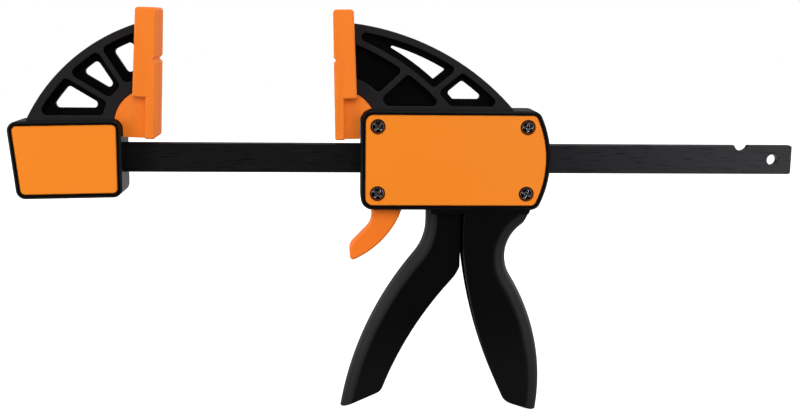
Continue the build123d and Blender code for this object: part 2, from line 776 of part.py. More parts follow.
with BuildSketch(FRONT) as trigger_outline:
    with BuildLine():
        knee = TangentArc(trigger_front_turn, trigger_front_knee, tangent=(0, -1))
        front = TangentArc(trigger_front_knee, trigger_toe, tangent=knee % 1)
        Line(trigger_toe, trigger_heel)
        back = RadiusArc(trigger_heel, trigger_back_knee, trigger_back_radius)
        TangentArc(trigger_back_knee, trigger_back_top, tangent=back % 1)
        Polyline(
            trigger_back_top,
            (trigger_back_top[0], housing_bottom),
            (nose_x, nose_z - 2 * nose_radius),
            (nose_x, nose_z),
            (trigger_front_x + free_gap, nose_z),
            (trigger_front_x, housing_bottom),
        )
        upright = Line((trigger_front_x, housing_bottom), trigger_front_turn)
    make_face()
    fillet(trigger_outline.vertices().sort_by_distance(trigger_heel)[0], trigger_heel_corner)
trigger_front_edges = (front @ 0.5, knee @ 0.5, upright @ 0.5)
trigger_back_edges = (back @ 0.5,)

along_bottom = (Vector(*trigger_heel) - Vector(*trigger_toe)).normalized() * 2 * trigger_wall
hollow_width = trigger_width - 2 * trigger_side_wall

# Hollow that opens towards the grip, with cross ribs.
with BuildPart() as trigger_hollow:
    with BuildSketch(FRONT):
        add(open_hollow(trigger_outline, trigger_wall, (along_bottom.X, along_bottom.Y)))
        with Locations((0, trigger_hollow_top)):
            Rectangle(2 * bar_length, bar_length, align=(Align.CENTER, Align.MAX), mode=Mode.INTERSECT)
    extrude(amount=hollow_width / 2, both=True)
    chamfer(side_edges(trigger_hollow, hollow_width, trigger_front_edges[:1]), trigger_inner_bevel)
    rib_heights = [trigger_hollow_top - (step + 1) * trigger_rib_pitch for step in range(trigger_ribs)]
    leave_ribs(trigger_outline, rib_heights, hollow_width, -handle_rib)

with BuildPart() as trigger_handle:
    with BuildSketch(FRONT):
        add(trigger_outline.sketch_local)
    extrude(amount=trigger_width / 2, both=True)
    fillet(side_edges(trigger_handle, trigger_width, trigger_front_edges), trigger_round)
    chamfer(side_edges(trigger_handle, trigger_width, trigger_back_edges), handle_edge_bevel)
    add(trigger_hollow.part, mode=Mode.SUBTRACT)
    # Two cheeks that straddle the bar and hang on the pivot pin, and the rounded nose below it.
    with BuildSketch(FRONT):
        with Locations(pivot[0]):
            Circle(cheek_radius)
        with BuildLine():
            Polyline(
                (trigger_pivot_x - cheek_radius, trigger_pivot_z),
                (trigger_front_x + free_gap, nose_z),
                (nose_x, nose_z),
                (trigger_pivot_x + cheek_radius, nose_z + nose_radius),
                (trigger_pivot_x + cheek_radius, trigger_pivot_z),
                close=True,
            )
        make_face()
        with Locations(pivot[0]):
            Circle(pivot_pin_radius + running_fit, mode=Mode.SUBTRACT)
    extrude(amount=trigger_width / 2, both=True)
    with BuildSketch(Plane.XY.offset(-bar_height / 2 - bar_clearance)):
        with Locations((trigger_pivot_x, 0)):
            Rectangle(6 * cheek_radius, cheek_gap)
    extrude(amount=trigger_pivot_z * 4, mode=Mode.SUBTRACT)
    with BuildSketch(FRONT):
        with Locations((nose_x, nose_z)):
            Circle(nose_radius)
    extrude(amount=trigger_width / 2, both=True)
save(trigger_handle.part, "trigger_handle")


# ---------------------------------------------------------------- what the trigger drives

drive_lever_x = nose_x + nose_radius + free_gap     # front face of the first lever


def drive_lever(x, name):
    """A hardened plate with a slot for the bar; it bites when it is pushed off square."""
    with BuildPart() as lever:
        with BuildSketch(Plane.YZ.offset(x)):
            RectangleRounded(drive_lever_width, drive_lever_height, drive_lever_corner)
            Rectangle(bar_thickness + 2 * free_gap, bar_height + 2 * free_gap, mode=Mode.SUBTRACT)
        extrude(amount=drive_lever_thickness)
    save(lever.part, name)


drive_lever(drive_lever_x, "drive_lever_front")
drive_lever(drive_lever_x + drive_lever_thickness + running_fit, "drive_lever_rear")


def coil_spring(start, end, z, radius, wire, turns, name):
    """A compression spring along the bar, its six-sided wire bent in short straight steps."""
    steps = turns * spring_steps
    angles = [2 * pi * step / spring_steps for step in range(steps + 1)]
    with BuildPart() as spring:
        with BuildLine() as coil:
            Polyline(
                *[
                    (start + (end - start) * step / steps, radius * sin(angle), z + radius * cos(angle))
                    for step, angle in enumerate(angles)
                ]
            )
        with BuildSketch(Plane(origin=coil.line @ 0, z_dir=coil.line % 0)):
            RegularPolygon(wire / 2, 6)
        sweep(path=coil.line, transition=Transition.RIGHT)
    save(spring.part, name)


washer_x = drive_chamber[1] - washer_thickness
spring_start = drive_lever_x + 2 * drive_lever_thickness + 2 * running_fit + drive_wire / 2
spring_end = washer_x - drive_wire / 2 - running_fit
coil_spring(spring_start, spring_end, 0, drive_spring_radius, drive_wire, drive_turns, "drive_spring")

with BuildPart() as spring_washer:
    with BuildSketch(Plane.YZ.offset(washer_x)):
        Circle(washer_radius)
        Rectangle(bar_thickness + 2 * free_gap, bar_height + 2 * free_gap, mode=Mode.SUBTRACT)
    extrude(amount=washer_thickness)
save(spring_washer.part, "spring_washer")


# ---------------------------------------------------------------- brake lever and its release

# Both are drawn about the groove that the lever's head rocks in: x square to the lever, y up it.
lean_in = radians(brake_tilt)
across = (cos(lean_in), 0, -sin(lean_in))
brake_side = Plane(origin=(brake_pivot_x, 0, brake_pivot_z), x_dir=across, z_dir=(0, -1, 0))
brake_face = Plane(origin=(brake_pivot_x, 0, brake_pivot_z), x_dir=(0, 1, 0), z_dir=across)

with BuildPart() as brake_lever:
    with BuildSketch(brake_side):
        Circle(brake_thickness / 2)
        with Locations((0, -brake_length / 2)):
            Rectangle(brake_thickness, brake_length)
    extrude(amount=brake_width / 2, both=True)
    with BuildSketch(brake_face):
        with Locations((0, -brake_pivot_z)):
            Rectangle(bar_thickness + brake_slot_play, bar_height + brake_slot_play)
        # Shoulders above the narrow tail.
        side_cut = (brake_width - brake_tail_width) / 2
        shoulder = (brake_width + brake_tail_width) / 4
        for side in (-1, 1):
            with Locations((side * shoulder, brake_tail_length / 2 - brake_length)):
                Rectangle(side_cut, brake_tail_length)
    extrude(amount=brake_width, both=True, mode=Mode.SUBTRACT)
    with BuildSketch(brake_face):
        with Locations((0, rivet_z - brake_pivot_z)):
            Circle(rivet_radius + pin_fit)
    extrude(amount=brake_width, both=True, mode=Mode.SUBTRACT)
save(brake_lever.part, "brake_lever")

brake_spring_start = brake_pivot_x + (brake_spring_z - brake_pivot_z) * tan(lean_in)
coil_spring(
    brake_spring_start + brake_thickness / 2 + brake_spring_radius * tan(lean_in) + brake_wire,
    brake_chamber[1] - brake_wire / 2 - running_fit,
    brake_spring_z,
    brake_spring_radius,
    brake_wire,
    brake_turns,
    "brake_spring",
)

with BuildPart() as release_trigger:
    with BuildSketch(FRONT) as release_outline:
        with BuildLine():
            Polyline(
                *release_front,
                release_tip,
            )
            RadiusArc(release_tip, release_back[0], -release_back_radius)
            Polyline(
                *release_back,
                (release_stem[1], release_stem_top),
                (release_stem[0], release_stem_top),
                (release_stem[0], chamber_floor - 2 * free_gap),
                (release_front[0][0], chamber_floor - 2 * free_gap),
                release_front[0],
            )
        make_face()
        bends = (*release_front_bend, release_tip_radius)
        for corner, radius in zip((*release_front[1:], release_tip), bends):
            fillet(release_outline.vertices().sort_by_distance(corner)[0], radius)
    extrude(amount=release_width / 2, both=True)
    ends = release_trigger.edges().filter_by(lambda e: abs(abs(e.center().Y) - release_width / 2) < 0.01)
    chamfer(ends.filter_by(lambda e: e.center().Z < housing_bottom), release_bevel)
    # Slot that the tail of the brake lever is pressed into, and the bore of its rivet.
    with BuildSketch(brake_face):
        with Locations((0, -brake_length / 2)):
            Rectangle(brake_tail_width + 2 * running_fit, brake_length + 2 * running_fit)
    extrude(amount=brake_thickness / 2 + running_fit, both=True, mode=Mode.SUBTRACT)
    with BuildSketch(brake_face.offset(-rivet_grip)):
        with Locations((0, rivet_z - brake_pivot_z)):
            Circle(rivet_radius + pin_fit)
    extrude(amount=4 * rivet_grip, mode=Mode.SUBTRACT)
save(release_trigger.part, "release_trigger")

with BuildPart() as release_rivet:
    with BuildSketch(brake_face.offset(-rivet_grip)):
        with Locations((0, rivet_z - brake_pivot_z)):
            Circle(rivet_radius)
    extrude(amount=2 * rivet_grip)
save(release_rivet.part, "release_rivet")
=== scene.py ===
"""Looks of a one-handed quick release bar clamp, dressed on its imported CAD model.

Everything is in metres, in the model's own frame: +X runs along the bar from the fixed jaw to the
bar's free end, +Z points up from the bar to the jaws, and -Y is the front, where the covers are.
"""
import json
import math

import bmesh
import bpy
import numpy as np
from mathutils import Matrix, Vector


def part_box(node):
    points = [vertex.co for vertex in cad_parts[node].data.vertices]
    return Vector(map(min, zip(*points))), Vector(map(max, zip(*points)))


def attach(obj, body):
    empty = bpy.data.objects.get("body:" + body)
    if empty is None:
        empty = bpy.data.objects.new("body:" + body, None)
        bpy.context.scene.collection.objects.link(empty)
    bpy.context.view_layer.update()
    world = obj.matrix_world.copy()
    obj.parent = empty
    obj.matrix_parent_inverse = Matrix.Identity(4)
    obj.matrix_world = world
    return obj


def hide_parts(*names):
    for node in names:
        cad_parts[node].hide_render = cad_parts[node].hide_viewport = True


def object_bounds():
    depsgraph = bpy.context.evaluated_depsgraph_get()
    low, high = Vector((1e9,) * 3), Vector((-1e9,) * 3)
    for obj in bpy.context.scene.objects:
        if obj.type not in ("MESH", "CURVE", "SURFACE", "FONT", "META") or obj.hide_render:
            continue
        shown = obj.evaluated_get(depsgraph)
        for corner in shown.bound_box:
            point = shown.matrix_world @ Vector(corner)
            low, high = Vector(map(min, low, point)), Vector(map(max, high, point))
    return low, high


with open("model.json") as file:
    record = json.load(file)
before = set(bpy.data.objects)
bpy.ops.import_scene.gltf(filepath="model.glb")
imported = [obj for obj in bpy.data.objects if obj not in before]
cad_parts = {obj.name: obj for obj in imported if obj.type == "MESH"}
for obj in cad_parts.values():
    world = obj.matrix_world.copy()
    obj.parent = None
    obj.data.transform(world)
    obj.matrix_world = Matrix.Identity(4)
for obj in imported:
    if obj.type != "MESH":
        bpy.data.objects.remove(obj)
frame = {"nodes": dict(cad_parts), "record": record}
cad_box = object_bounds()
nodes = frame["nodes"]
MM = 0.001


# ---------------------------------------------------------------- shared tools

def linear(code):
    """Linear RGBA of an sRGB hex colour."""
    srgb = np.array([int(code[i:i + 2], 16) for i in (1, 3, 5)]) / 255
    return (*np.where(srgb <= 0.04045, srgb / 12.92, ((srgb + 0.055) / 1.055) ** 2.4).tolist(), 1.0)


def add_node(tree, kind, settings=None, **inputs):
    """Adds a node. Settings are its own properties; each input is a value, or a socket to link.

    An input is named as the socket is, with _ for a space, or by its number, as in i2.
    """
    node = tree.nodes.new(kind)
    for key, value in (settings or {}).items():
        setattr(node, key, value)
    for key, value in inputs.items():
        numbered = key[0] == "i" and key[1:].isdigit()
        socket = node.inputs[int(key[1:]) if numbered else key.replace("_", " ")]
        if isinstance(value, bpy.types.NodeSocket):
            tree.links.new(value, socket)
        else:
            socket.default_value = value
    return node


# ---------------------------------------------------------------- camera, light and background

LENS_MM = 52.63
CAMERA_PLACE = (0.11707, -0.79551, 0.09895)
CAMERA_YAW, CAMERA_PITCH, CAMERA_ROLL = -3.28636, -9.60621, -0.65090    # degrees


def add_camera():
    """A camera that looks along +Y before it is rolled, pitched down and turned, in that order."""
    data = bpy.data.cameras.new("camera")
    data.lens = LENS_MM
    data.sensor_width = 36.0
    data.clip_start, data.clip_end = 0.01, 20.0
    camera = bpy.data.objects.new("camera", data)
    bpy.context.scene.collection.objects.link(camera)
    level = Matrix.Rotation(math.radians(90), 4, "X")
    turn = (
        Matrix.Rotation(math.radians(CAMERA_YAW), 4, "Z")
        @ Matrix.Rotation(math.radians(CAMERA_PITCH), 4, "X")
        @ Matrix.Rotation(math.radians(CAMERA_ROLL), 4, "Y")
    )
    camera.matrix_world = Matrix.Translation(CAMERA_PLACE) @ turn @ level
    bpy.context.scene.camera = camera


LIT_POINT = (0.14, 0.0, 0.0)            # what the lamps face


def add_softbox(name, azimuth, elevation, distance, size, watts, seen_in_gloss=True):
    """A rectangular soft lamp that faces the clamp. Azimuth 0 is the front, and 90 the right."""
    data = bpy.data.lights.new(name, "AREA")
    data.shape = "RECTANGLE"
    data.size, data.size_y = size
    data.energy = watts
    lamp = bpy.data.objects.new(name, data)
    bpy.context.scene.collection.objects.link(lamp)
    turn, rise = math.radians(azimuth), math.radians(elevation)
    level = math.cos(rise)
    away = Vector((math.sin(turn) * level, -math.cos(turn) * level, math.sin(rise)))
    lamp.location = Vector(LIT_POINT) + away * distance
    lamp.rotation_euler = (-away).to_track_quat("-Z", "Y").to_euler()
    lamp.visible_glossy = seen_in_gloss
    lamp.visible_camera = False


MIRRORED_SHARE = 0.12                   # how bright the white backdrop is in the clamp's gloss


def sees_backdrop(tree, towards_back, fade):
    """1 for camera and glass rays, and a share of it for mirror rays that reach the backdrop.

    Mirror rays fade in as towards_back goes from the fade's start to its end. In front of the
    clamp they meet the dark side of the room, as they do in a studio.
    """
    start, end = fade
    path = add_node(tree, "ShaderNodeLightPath")
    behind = add_node(tree, "ShaderNodeMapRange", Value=towards_back,
                      From_Min=start, From_Max=end, To_Max=MIRRORED_SHARE)
    mirrored = add_node(tree, "ShaderNodeMath", {"operation": "MULTIPLY"},
                        i0=path.outputs["Is Glossy Ray"], i1=behind.outputs[0])
    direct = add_node(tree, "ShaderNodeMath", {"operation": "MAXIMUM"},
                      i0=path.outputs["Is Camera Ray"], i1=path.outputs["Is Transmission Ray"])
    return add_node(tree, "ShaderNodeMath", {"operation": "MAXIMUM"},
                    i0=direct.outputs[0], i1=mirrored.outputs[0]).outputs[0]


ROOM_LEVEL = 0.02                       # light of the room's dark front
SKY_LEVEL = 0.55                        # added overhead
WORLD_FADE = (0.05, 0.35)               # Y of the directions where mirror rays find the white


def set_world():
    """A white background; the light it gives is a soft dome, dark in front and bright overhead."""
    world = bpy.data.worlds.new("studio")
    bpy.context.scene.world = world
    world.use_nodes = True
    tree = world.node_tree
    tree.nodes.clear()
    place = add_node(tree, "ShaderNodeTexCoord").outputs["Generated"]
    split = add_node(tree, "ShaderNodeSeparateXYZ", Vector=place)
    above = add_node(tree, "ShaderNodeMath", {"operation": "MAXIMUM"},
                     i0=split.outputs["Z"], i1=0.0)
    level = add_node(tree, "ShaderNodeMath", {"operation": "MULTIPLY_ADD"},
                     i0=above.outputs[0], i1=SKY_LEVEL, i2=ROOM_LEVEL)
    dome = add_node(tree, "ShaderNodeBackground", Color=(1, 1, 1, 1), Strength=level.outputs[0])
    white = add_node(tree, "ShaderNodeBackground", Color=(1, 1, 1, 1), Strength=1.0)
    seen = sees_backdrop(tree, split.outputs["Y"], WORLD_FADE)
    mix = add_node(tree, "ShaderNodeMixShader", i0=seen, i1=dome.outputs[0], i2=white.outputs[0])
    add_node(tree, "ShaderNodeOutputWorld", Surface=mix.outputs[0])


FLOOR_DROP = 0.4 * MM                   # how far it lies under the handles
FLOOR_FRONT = -0.15                     # its edge in front of the clamp
FLOOR_REACH = 3.0                       # how far it runs to the other three sides
FLOOR_FADE = (0.0, 0.1)                 # Y of the places where mirror rays find it white
PAPER_SHADE = 0.35                      # what it throws back of the light that falls on it
SHADOW_DEPTH = 0.06                     # how far under white it goes where no light falls


def add_floor():
    """A plain white sweep just under the handles, which throws soft light back up."""
    height = cad_box[0][2] - FLOOR_DROP
    corners = [
        (-FLOOR_REACH, FLOOR_FRONT, height), (FLOOR_REACH, FLOOR_FRONT, height),
        (FLOOR_REACH, FLOOR_REACH, height), (-FLOOR_REACH, FLOOR_REACH, height),
    ]
    mesh = bpy.data.meshes.new("floor")
    mesh.from_pydata(corners, [], [(0, 1, 2, 3)])
    floor = bpy.data.objects.new("floor", mesh)
    bpy.context.scene.collection.objects.link(floor)
    material = bpy.data.materials.new("white_paper_sweep")
    material.use_nodes = True
    tree = material.node_tree
    tree.nodes.clear()
    paper = add_node(tree, "ShaderNodeBsdfDiffuse", Color=(*[PAPER_SHADE] * 3, 1))
    glow = add_node(tree, "ShaderNodeEmission", Color=(1, 1, 1, 1), Strength=1.0 - SHADOW_DEPTH)
    white = add_node(tree, "ShaderNodeAddShader", i0=paper.outputs[0], i1=glow.outputs[0])
    place = add_node(tree, "ShaderNodeTexCoord").outputs["Object"]
    split = add_node(tree, "ShaderNodeSeparateXYZ", Vector=place)
    seen = sees_backdrop(tree, split.outputs["Y"], FLOOR_FADE)
    mix = add_node(tree, "ShaderNodeMixShader", i0=seen, i1=paper.outputs[0], i2=white.outputs[0])
    add_node(tree, "ShaderNodeOutputMaterial", Surface=mix.outputs[0])
    mesh.materials.append(material)


# Each lamp's name, azimuth and elevation in degrees, distance and size in metres, and watts. The
# two fills light the colours and leave no mirror image; the strips and the bank draw highlights.
FILL, STRIP, NARROW_STRIP, BANK = (1.6, 1.2), (0.5, 1.2), (0.4, 1.2), (1.4, 0.5)

bpy.context.scene.view_settings.view_transform = "Standard"
add_camera()
set_world()
add_floor()
add_softbox("front_fill", 0, 25, 1.8, FILL, 18.0, seen_in_gloss=False)
add_softbox("back_fill", 180, 25, 1.8, FILL, 20.0, seen_in_gloss=False)
add_softbox("left_strip", -62, 10, 1.3, STRIP, 8.0)
add_softbox("right_strip", 60, 8, 1.3, STRIP, 5.5)
add_softbox("near_right_strip", 30, 0, 1.6, NARROW_STRIP, 1.0)
add_softbox("back_left_strip", -122, 10, 1.3, STRIP, 5.0)
add_softbox("back_right_strip", 122, 10, 1.3, STRIP, 5.0)
add_softbox("top_bank", 10, 72, 1.3, BANK, 2.0)


# ---------------------------------------------------------------- materials

def new_surface(name, **settings):
    """A material with one Principled shader, and its Object coordinates."""
    material = bpy.data.materials.new(name)
    material.use_nodes = True
    tree = material.node_tree
    tree.nodes.clear()
    shader = add_node(tree, "ShaderNodeBsdfPrincipled", **settings)
    add_node(tree, "ShaderNodeOutputMaterial", Surface=shader.outputs[0])
    place = add_node(tree, "ShaderNodeTexCoord").outputs["Object"]
    return material, tree, shader, place


def finish_surface(tree, shader, colour, roughness, height, strength, depth):
    """Links a surface's colour, roughness and bump; depth is the bump's height in metres."""
    bump = add_node(tree, "ShaderNodeBump", Strength=strength, Distance=depth, Height=height)
    tree.links.new(colour, shader.inputs["Base Color"])
    tree.links.new(roughness, shader.inputs["Roughness"])
    tree.links.new(bump.outputs[0], shader.inputs["Normal"])


def per_metre(size_mm):
    """Scale of a noise texture whose grains are about this big."""
    return 1000.0 / size_mm


def leans_away(tree, start, full):
    """0 where a surface faces the front or the back, rising to 1 as it leans away from them.

    It is a ramp of how much of the surface's normal lies along Y, which is 1 on a face square to
    the front or the back and 0 on an edge: the ramp leaves 0 at start and reaches 1 at full.
    """
    normal = add_node(tree, "ShaderNodeTexCoord").outputs["Normal"]
    split = add_node(tree, "ShaderNodeSeparateXYZ", Vector=normal)
    square = add_node(tree, "ShaderNodeMath", {"operation": "ABSOLUTE"}, i0=split.outputs["Y"])
    return add_node(tree, "ShaderNodeMapRange", Value=square.outputs[0],
                    From_Min=start, From_Max=full).outputs[0]


HANDLES_TOP = -0.036                    # the handles' textured edges, painted lighter as a sheen, start under the housing
JAWS_FOOT = 0.024                       # and the jaws' textured flanges, painted lighter as if lit from above, start over the heads
FLANGE_FACE = 0.0105                    # half of the jaws' width
FLANGE_BAND = 0.6 * MM                  # how far either side of that a flange's face may lie


def nylon_black():
    """Glass-filled nylon, injection moulded: black.

    Its flat sides are fine and dark. The rounded edges of the two handles and the jaws' flanges
    are spark-eroded coarser and rougher, and their colour is painted lighter: a painted sheen on
    the handles' edges, and painted light on the jaws' flanges. The grain is really 0.15 mm; it is
    drawn at 0.6 mm so that it shows.
    """
    material, tree, shader, place = new_surface("nylon_glass_filled_moulded",
                                                IOR=1.53, Specular_IOR_Level=0.15)
    split = add_node(tree, "ShaderNodeSeparateXYZ", Vector=place)
    low = add_node(tree, "ShaderNodeMapRange", Value=split.outputs["Z"],
                   From_Min=HANDLES_TOP + MM, From_Max=HANDLES_TOP - MM)
    edges = add_node(tree, "ShaderNodeMath", {"operation": "MULTIPLY"},
                     i0=leans_away(tree, start=0.992, full=0.965), i1=low.outputs[0])
    off_middle = add_node(tree, "ShaderNodeMath", {"operation": "ABSOLUTE"}, i0=split.outputs["Y"])
    outer = add_node(tree, "ShaderNodeMath", {"operation": "COMPARE"},
                     i0=off_middle.outputs[0], i1=FLANGE_FACE, i2=FLANGE_BAND)
    high = add_node(tree, "ShaderNodeMapRange", Value=split.outputs["Z"],
                    From_Min=JAWS_FOOT, From_Max=JAWS_FOOT + MM)
    flanges = add_node(tree, "ShaderNodeMath", {"operation": "MULTIPLY"},
                       i0=outer.outputs[0], i1=high.outputs[0])
    # Where the grain is coarser and rougher, and where the colour is painted lighter as sheen and
    # light.
    coarse_and_painted_light = add_node(tree, "ShaderNodeMath", {"operation": "MAXIMUM"},
                      i0=edges.outputs[0], i1=flanges.outputs[0])

    cloud = add_node(tree, "ShaderNodeTexNoise", Vector=place, Scale=per_metre(30), Detail=3.0)
    smooth = add_node(tree, "ShaderNodeMix", {"data_type": "RGBA"}, i0=cloud.outputs["Fac"],
                      i6=linear("#040405"), i7=linear("#09080A"))
    # Painted sheen on the handles' edges and painted light on the jaws' flanges: both get the
    # lighter #1E1C1E.
    tint = add_node(tree, "ShaderNodeMix", {"data_type": "RGBA"}, i0=coarse_and_painted_light.outputs[0],
                    i6=smooth.outputs[2], i7=linear("#1E1C1E"))
    gloss = add_node(tree, "ShaderNodeMapRange", Value=coarse_and_painted_light.outputs[0], To_Min=0.34, To_Max=0.50)
    grain = add_node(tree, "ShaderNodeTexNoise", Vector=place, Scale=per_metre(0.6), Detail=2.0)
    raised = add_node(tree, "ShaderNodeMapRange", Value=coarse_and_painted_light.outputs[0], To_Min=0.25, To_Max=1.0)
    height = add_node(tree, "ShaderNodeMath", {"operation": "MULTIPLY"},
                      i0=grain.outputs["Fac"], i1=raised.outputs[0])
    finish_surface(tree, shader, tint.outputs[2], gloss.outputs[0], height.outputs[0],
                   strength=0.35, depth=0.09 * MM)
    return material


def orange_moulding(name, colour, shade, rough, grain_mm, grain_depth_mm):
    """A coloured moulding: an even orange that drifts a little, with a fine moulded grain.

    The grain is really about 0.2 mm; it is drawn several times as large so that it shows.
    """
    material, tree, shader, place = new_surface(name, IOR=1.49, Specular_IOR_Level=0.4)
    drift = add_node(tree, "ShaderNodeTexNoise", Vector=place, Scale=per_metre(30), Detail=2.0)
    tint = add_node(tree, "ShaderNodeMix", {"data_type": "RGBA"}, i0=drift.outputs["Fac"],
                    i6=linear(colour), i7=linear(shade))
    gloss = add_node(tree, "ShaderNodeMapRange", Value=drift.outputs["Fac"],
                     To_Min=rough - 0.04, To_Max=rough + 0.04)
    grain = add_node(tree, "ShaderNodeTexNoise", Vector=place, Scale=per_metre(grain_mm),
                     Detail=2.0)
    finish_surface(tree, shader, tint.outputs[2], gloss.outputs[0], grain.outputs["Fac"],
                   strength=0.2, depth=grain_depth_mm * MM)
    return material


def bar_steel():
    """Cold-drawn flat steel, black oxidised: near black, with marks that run along the bar.

    The marks are long thin rolling streaks and short darker flecks. The bar's edges, notch and
    hole are cut, not rolled, and their oxide is darker. A streak is really 0.1 mm high; it is
    drawn at 1.2 mm so that it shows.
    """
    material, tree, shader, place = new_surface("steel_drawn_black_oxide", Metallic=1.0)
    long_thin = (per_metre(45), per_metre(1.2), per_metre(1.2))
    short_thin = (per_metre(16), per_metre(0.9), per_metre(0.9))
    drawn = add_node(tree, "ShaderNodeMapping", Vector=place, Scale=long_thin)
    streak = add_node(tree, "ShaderNodeTexNoise", Vector=drawn.outputs[0],
                      Scale=1.0, Detail=4.0, Roughness=0.6)
    rolled = add_node(tree, "ShaderNodeMapping", Vector=place, Scale=short_thin)
    fleck = add_node(tree, "ShaderNodeTexNoise", Vector=rolled.outputs[0], Scale=1.0, Detail=1.0)
    spots = add_node(tree, "ShaderNodeMapRange", Value=fleck.outputs["Fac"],
                     From_Min=0.56, From_Max=0.72)
    tint = add_node(tree, "ShaderNodeMix", {"data_type": "RGBA"}, i0=streak.outputs["Fac"],
                    i6=linear("#4B4A4E"), i7=linear("#575659"))
    flecked = add_node(tree, "ShaderNodeMix", {"data_type": "RGBA"}, i0=spots.outputs[0],
                       i6=tint.outputs[2], i7=linear("#363539"))
    oxide = add_node(tree, "ShaderNodeMix", {"data_type": "RGBA"},
                     i0=leans_away(tree, start=0.6, full=0.3),
                     i6=flecked.outputs[2], i7=linear("#1C1B1E"))
    gloss = add_node(tree, "ShaderNodeMapRange", Value=streak.outputs["Fac"],
                     To_Min=0.30, To_Max=0.42)
    finish_surface(tree, shader, oxide.outputs[2], gloss.outputs[0], streak.outputs["Fac"],
                   strength=0.15, depth=0.05 * MM)
    return material


def small_steel(name, colour, shade, rough):
    """Pressed, turned or drawn steel, with faint cloudy handling marks 4 mm across."""
    material, tree, shader, place = new_surface(name, Metallic=1.0)
    cloud = add_node(tree, "ShaderNodeTexNoise", Vector=place, Scale=per_metre(4), Detail=3.0)
    tint = add_node(tree, "ShaderNodeMix", {"data_type": "RGBA"}, i0=cloud.outputs["Fac"],
                    i6=linear(colour), i7=linear(shade))
    gloss = add_node(tree, "ShaderNodeMapRange", Value=cloud.outputs["Fac"],
                     To_Min=rough - 0.06, To_Max=rough + 0.08)
    finish_surface(tree, shader, tint.outputs[2], gloss.outputs[0], cloud.outputs["Fac"],
                   strength=0.1, depth=0.03 * MM)
    return material


def screw_steel():
    """Turned screw steel, black zinc plated: near black and fairly glossy.

    Every surface that leans away from the axis, from about 16 degrees and fully by 31, turns
    bright bare steel. In the cross recess that is wear from the driver. On the recess walls, the
    dome's rim and the head's sides it is also a painted glint.
    """
    material, tree, shader, place = new_surface("screw_steel_black_zinc_plated", Metallic=1.0)
    cloud = add_node(tree, "ShaderNodeTexNoise", Vector=place, Scale=per_metre(2), Detail=3.0)
    plated = add_node(tree, "ShaderNodeMix", {"data_type": "RGBA"}, i0=cloud.outputs["Fac"],
                      i6=linear("#2E2C30"), i7=linear("#232225"))
    # Painted glint: a bright steel colour on the leaning surfaces, which is also driver wear in the
    # cross recess.
    tint = add_node(tree, "ShaderNodeMix", {"data_type": "RGBA"},
                    i0=leans_away(tree, start=0.96, full=0.86),
                    i6=plated.outputs[2], i7=linear("#B4B2B4"))
    gloss = add_node(tree, "ShaderNodeMapRange", Value=cloud.outputs["Fac"],
                     To_Min=0.20, To_Max=0.30)
    finish_surface(tree, shader, tint.outputs[2], gloss.outputs[0], cloud.outputs["Fac"],
                   strength=0.1, depth=0.02 * MM)
    return material


FINISH = {
    "moulded_black_nylon": nylon_black(),
    # ABS covers: a clean warm orange with a satin shine.
    "moulded_orange_plastic": orange_moulding(
        "abs_moulded_satin", "#F78A20", "#F5861C", rough=0.42, grain_mm=0.9, grain_depth_mm=0.03),
    # Soft TPE pads: a deeper orange, matt, with a more open grain.
    "orange_soft_pad": orange_moulding(
        "tpe_pad_moulded_matt", "#F57F1E", "#F37B1B", rough=0.62, grain_mm=0.8, grain_depth_mm=0.06),
    "blackened_bar_steel": bar_steel(),
    # Zinc plate on the pins and levers: pale and bright, a little clouded.
    "plated_steel": small_steel("steel_zinc_plated", "#B9BBB8", "#8F918E", rough=0.34),
    # Drawn spring wire, left in its oil: a warm dark grey.
    "spring_steel": small_steel("spring_wire_drawn_oiled", "#6E6A66", "#4C4A48", rough=0.38),
    "black_screw_steel": screw_steel(),
}
# The release lever is nylon, moulded apart from the covers: a redder orange with the same shine.
RELEASE_FINISH = orange_moulding(
    "nylon_moulded_orange", "#FA7D22", "#F6781D", rough=0.42, grain_mm=0.9, grain_depth_mm=0.03)

for part in frame["record"]["subparts"]:
    finish = RELEASE_FINISH if part["node"] == "release_trigger" else FINISH[part["material_slot"]]
    mesh = nodes[part["node"]].data
    mesh.materials.clear()
    mesh.materials.append(finish)


# ---------------------------------------------------------------- new pieces

def new_piece(name, mesh, body, node, slot):
    """Puts a finished mesh in the scene as a piece that stands for a node and rides on its body."""
    mesh.materials.clear()
    mesh.materials.append(FINISH[slot])
    piece = bpy.data.objects.new(name, mesh)
    bpy.context.scene.collection.objects.link(piece)
    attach(piece, body)
    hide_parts(node)
    return piece


def turned_solid(points):
    """Vertices, four-sided faces and three-sided faces of a closed solid.

    The points are a grid: rows from the top pole to the bottom one, each running once round the
    axis. Each pole's row is taken as one point.
    """
    rows, around = points.shape[:2]
    vertices = np.concatenate([points[0, :1], points[1:-1].reshape(-1, 3), points[-1, :1]])
    here, there = np.arange(around), np.roll(np.arange(around), -1)
    row = 1 + np.arange(rows - 3)[:, None] * around
    sides = np.stack([row + here, row + there, row + there + around, row + here + around], -1)
    last = 1 + (rows - 3) * around
    top = np.stack([np.zeros(around, int), 1 + there, 1 + here], -1)
    bottom = np.stack([np.full(around, len(vertices) - 1), last + here, last + there], -1)
    return vertices, sides.reshape(-1, 4), np.concatenate([top, bottom])


